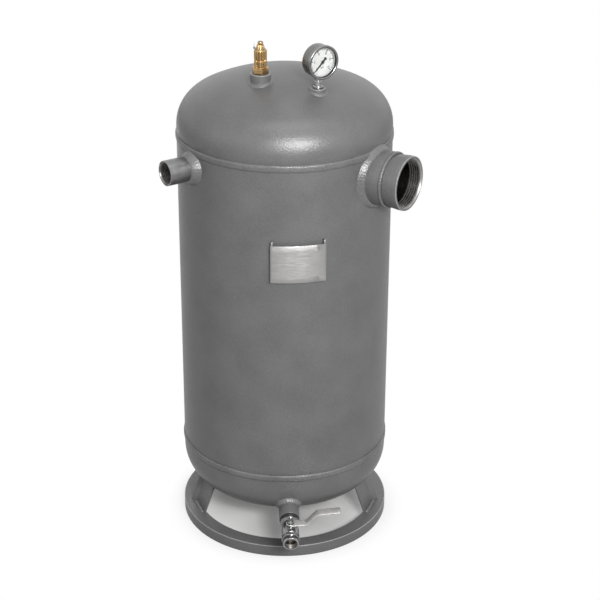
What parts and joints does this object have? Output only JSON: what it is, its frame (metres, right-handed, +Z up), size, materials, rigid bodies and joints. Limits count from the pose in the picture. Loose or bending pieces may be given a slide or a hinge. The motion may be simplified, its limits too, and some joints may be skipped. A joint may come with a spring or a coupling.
{
  "type": "air receiver tank",
  "caption": "Upright steel air receiver with domed ends on a base ring, side sockets, a brass safety valve, a dial gauge and a lever ball valve as drain.",
  "frame": {"origin": "centre of the box round the object, at its base", "axes": "+Z up along the tank's axis; the nameplate and the drain face -Y; the large socket is on the +X side"},
  "size_m": [0.4764, 0.4929, 0.9922],
  "materials": {
    "enamel": "semi-gloss grey enamel",
    "bare_steel": "machined, lightly oiled",
    "stainless": "brushed stainless steel",
    "brass": "machined brass",
    "chrome": "bright plate",
    "spring_steel": "drawn wire",
    "lead": "soft pressed lead",
    "ptfe": "white, matt",
    "rubber": "black nitrile",
    "dial": "matt white enamel",
    "pointer": "black lacquer",
    "window": "clear"
  },
  "bodies": {
    "receiver": {"base_ring": "enamel", "bottom_girth_weld": "enamel", "bottom_head": "enamel", "drain_gasket": "rubber", "drain_gland": "chrome", "drain_packing": "ptfe", "drain_seat_inner": "ptfe", "drain_seat_outer": "ptfe", "drain_socket": "enamel", "drain_socket_weld": "enamel", "drain_valve_body": "chrome", "drain_valve_end": "chrome", "gauge_adapter": "bare_steel", "gauge_bezel": "stainless", "gauge_boss": "enamel", "gauge_boss_weld": "enamel", "gauge_bourdon_tube": "brass", "gauge_case": "stainless", "gauge_dial": "dial", "gauge_movement_plate": "brass", "gauge_stem": "stainless", "gauge_window": "window", "inlet_fillet_weld": "enamel", "inlet_socket": "enamel", "inlet_socket_weld": "enamel", "inlet_stub": "enamel", "lead_seal": "lead", "leg_left": "enamel", "leg_left_weld": "enamel", "leg_rear": "enamel", "leg_rear_weld": "enamel", "leg_right": "enamel", "leg_right_weld": "enamel", "long_seam_weld": "enamel", "nameplate": "stainless", "nameplate_bracket": "enamel", "outlet_fillet_weld": "enamel", "outlet_socket": "bare_steel", "safety_boss": "enamel", "safety_boss_weld": "enamel", "safety_valve_body": "brass", "safety_valve_bonnet": "brass", "safety_valve_spring": "spring_steel", "safety_valve_spring_button": "brass", "seal_wire": "spring_steel", "shell": "enamel", "top_girth_weld": "enamel", "top_head": "enamel"},
    "valve_lift": {"safety_valve_disc": "brass", "safety_valve_spindle": "brass", "safety_valve_cap": "brass"},
    "drain_handle": {"drain_lever": "chrome", "drain_lever_nut": "chrome", "drain_stem": "chrome", "drain_ball": "chrome"},
    "pointer": {"gauge_pointer": "pointer", "gauge_pinion": "brass"},
    "sector": {"gauge_sector": "brass"},
    "link": {"gauge_link": "brass"}
  },
  "joints": [
    {"name": "safety_valve_lift", "type": "slide", "parent": "receiver", "child": "valve_lift", "axis": [0, 0, 1], "range_m": [0, 0.0025], "stiffness_N_per_m": 2000, "springref_m": -0.002, "deforming": ["safety_valve_spring"]},
    {"name": "drain_lever_turn", "type": "hinge", "parent": "receiver", "child": "drain_handle", "pos_m": [-0.00146, -0.21086, 0.08881], "axis": [0.0087, -0.2077, 0.9781], "range_deg": [-90, 0]},
    {"name": "gauge_sector_turn", "type": "hinge", "parent": "receiver", "child": "sector", "pos_m": [0.03766, -0.05273, 0.9612], "axis": [0.5505, -0.8348, 0], "range_deg": [0, 45], "stiffness_Nm_per_rad": 0.02, "springref_deg": -2.86},
    {"name": "gauge_pointer_turn", "type": "hinge", "parent": "receiver", "child": "pointer", "pos_m": [0.04722, -0.03672, 0.9612], "axis": [0.5505, -0.8348, 0], "range_deg": [-270, 0]},
    {"name": "gauge_link_turn", "type": "hinge", "parent": "receiver", "child": "link", "pos_m": [0.03717, -0.04335, 0.944], "axis": [0.5505, -0.8348, 0], "range_deg": [-15, 0]}
  ],
  "couplings": [
    {"joint": "gauge_pointer_turn", "follows": "gauge_sector_turn", "ratio": -6},
    {"joint": "gauge_link_turn", "follows": "gauge_sector_turn", "ratio": -0.3135}
  ]
}
